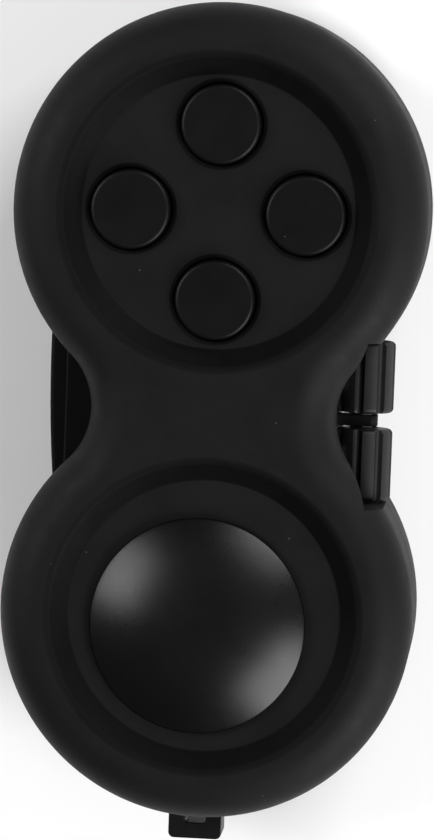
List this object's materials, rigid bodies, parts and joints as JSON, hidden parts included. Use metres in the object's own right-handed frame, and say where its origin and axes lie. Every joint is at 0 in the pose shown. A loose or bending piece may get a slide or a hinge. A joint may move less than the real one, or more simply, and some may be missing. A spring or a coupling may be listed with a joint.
{
  "type": "fidget pad",
  "caption": "Pocket fidget pad: two round lobes with click buttons and a sliding joystick on the face, thumb rollers and a rocker on the sides, spin dial and thumb dish on the back.",
  "frame": {"origin": "middle of the flat back face, midway between the two lobes' centres", "axes": "+X to the rollers' side, +Y to the button lobe, +Z out of the face"},
  "size_m": [0.043, 0.0878, 0.0242],
  "materials": {
    "soft_touch_black": "soft-touch matte coating",
    "fine_grain_black": "fine moulded grain, matte",
    "grained_black": "satin moulded grain",
    "satin_black": "satin as-moulded ABS",
    "inner_plastic": "as moulded",
    "rubber": "silicone rubber",
    "steel": "zinc plated"
  },
  "bodies": {
    "case": {"front_shell": "soft_touch_black", "back_shell": "soft_touch_black", "case_screws": "steel", "lanyard_loop": "satin_black", "dome_top": "rubber", "dome_left": "rubber", "dome_right": "rubber", "dome_bottom": "rubber", "button_plate": "inner_plastic", "button_plate_screws": "steel", "joystick_tray": "inner_plastic", "tray_screws": "steel", "spring_x_left": "steel", "spring_x_right": "steel", "roller_shaft": "steel", "click_leaf_upper": "steel", "click_leaf_lower": "steel", "switch_housing": "satin_black", "rocker_pin": "steel", "rocker_leaf": "steel", "dial_washer": "steel", "dial_screw": "steel"},
    "button_top_body": {"button_top": "fine_grain_black"},
    "button_left_body": {"button_left": "fine_grain_black"},
    "button_right_body": {"button_right": "fine_grain_black"},
    "button_bottom_body": {"button_bottom": "fine_grain_black"},
    "cross_slider_body": {"cross_slider": "inner_plastic", "spring_y_upper": "steel", "spring_y_lower": "steel"},
    "stick": {"joystick_cap": "grained_black", "joystick_stem": "inner_plastic", "joystick_screw": "steel"},
    "roller_upper_body": {"roller_upper": "satin_black"},
    "roller_lower_body": {"roller_lower": "satin_black"},
    "rocker_body": {"rocker": "satin_black"},
    "dial_body": {"spin_dial": "grained_black"}
  },
  "joints": [
    {"name": "top_button_press", "type": "slide", "parent": "case", "child": "button_top_body", "axis": [0, 0, -1], "range_m": [0, 0.0012], "stiffness_N_per_m": 900, "springref_m": -0.0008, "deforming": ["dome_top"]},
    {"name": "left_button_press", "type": "slide", "parent": "case", "child": "button_left_body", "axis": [0, 0, -1], "range_m": [0, 0.0012], "stiffness_N_per_m": 900, "springref_m": -0.0008, "deforming": ["dome_left"]},
    {"name": "right_button_press", "type": "slide", "parent": "case", "child": "button_right_body", "axis": [0, 0, -1], "range_m": [0, 0.0012], "stiffness_N_per_m": 900, "springref_m": -0.0008, "deforming": ["dome_right"]},
    {"name": "bottom_button_press", "type": "slide", "parent": "case", "child": "button_bottom_body", "axis": [0, 0, -1], "range_m": [0, 0.0012], "stiffness_N_per_m": 900, "springref_m": -0.0008, "deforming": ["dome_bottom"]},
    {"name": "joystick_slide_x", "type": "slide", "parent": "case", "child": "cross_slider_body", "axis": [1, 0, 0], "range_m": [-0.0009, 0.0021], "stiffness_N_per_m": 150, "deforming": ["spring_x_left", "spring_x_right"]},
    {"name": "joystick_slide_y", "type": "slide", "parent": "cross_slider_body", "child": "stick", "axis": [0, 1, 0], "range_m": [-0.0005, 0.0025], "stiffness_N_per_m": 150, "deforming": ["spring_y_upper", "spring_y_lower"]},
    {"name": "upper_roller_spin", "type": "hinge", "parent": "case", "child": "roller_upper_body", "pos_m": [0.0154, 0.004, 0.011], "axis": [0, 1, 0], "continuous": true, "deforming": ["click_leaf_upper"]},
    {"name": "lower_roller_spin", "type": "hinge", "parent": "case", "child": "roller_lower_body", "pos_m": [0.0154, -0.0052, 0.011], "axis": [0, 1, 0], "continuous": true, "deforming": ["click_leaf_lower"]},
    {"name": "rocker_flip", "type": "hinge", "parent": "case", "child": "rocker_body", "pos_m": [-0.0128, 0, 0.011], "axis": [0, 0, 1], "range_deg": [-4, 0], "deforming": ["rocker_leaf"]},
    {"name": "dial_spin", "type": "hinge", "parent": "case", "child": "dial_body", "pos_m": [0, 0.02085, 0.0016], "axis": [0, 0, 1], "continuous": true}
  ]
}
